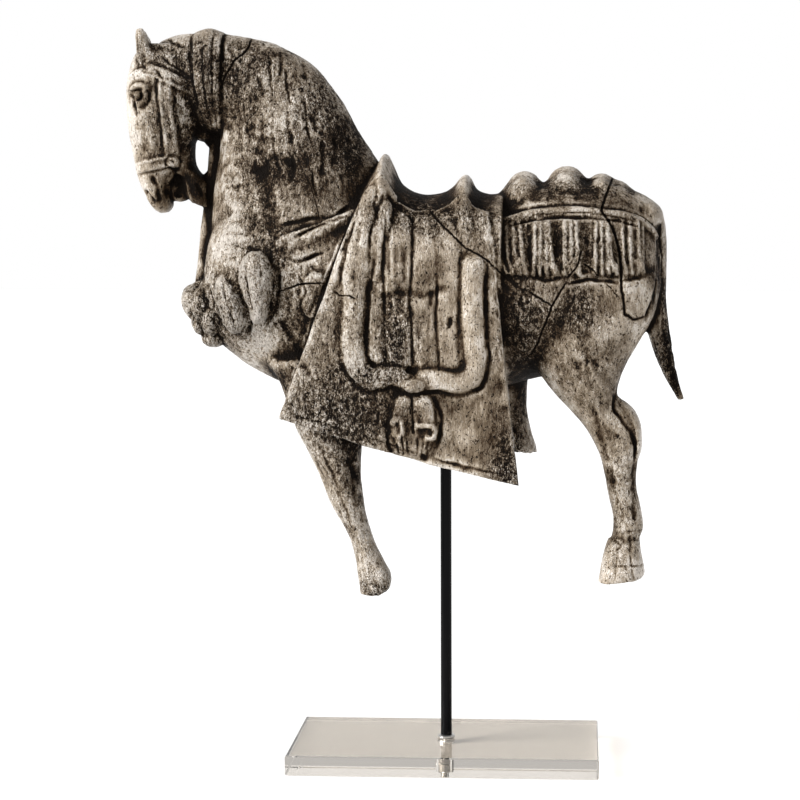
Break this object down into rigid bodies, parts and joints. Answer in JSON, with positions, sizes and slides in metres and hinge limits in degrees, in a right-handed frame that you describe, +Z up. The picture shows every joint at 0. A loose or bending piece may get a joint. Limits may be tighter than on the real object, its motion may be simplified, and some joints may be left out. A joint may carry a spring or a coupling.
{
  "type": "resin horse sculpture on a rod and acrylic plate",
  "caption": "Weathered cast resin horse in saddle cloth and fringed harness, held by a slim black rod on a clear plate.",
  "frame": {"origin": "middle of the work's footprint, on the plate's underside", "axes": "+X from the horse's head to its tail, +Z up, -Y towards the show side, the horse's left flank"},
  "size_m": [0.3966, 0.1308, 0.5235],
  "materials": {
    "resin": "cast polyresin, pitted and chiselled, bone grey with a dark brown wash in the hollows",
    "rod_black": "satin black coating",
    "steel": "plain turned steel",
    "acrylic": "clear, polished faces and edges"
  },
  "bodies": {
    "root": {"horse": "resin", "rod": "rod_black", "washer": "steel", "screw": "steel", "base_plate": "acrylic"}
  },
  "joints": []
}
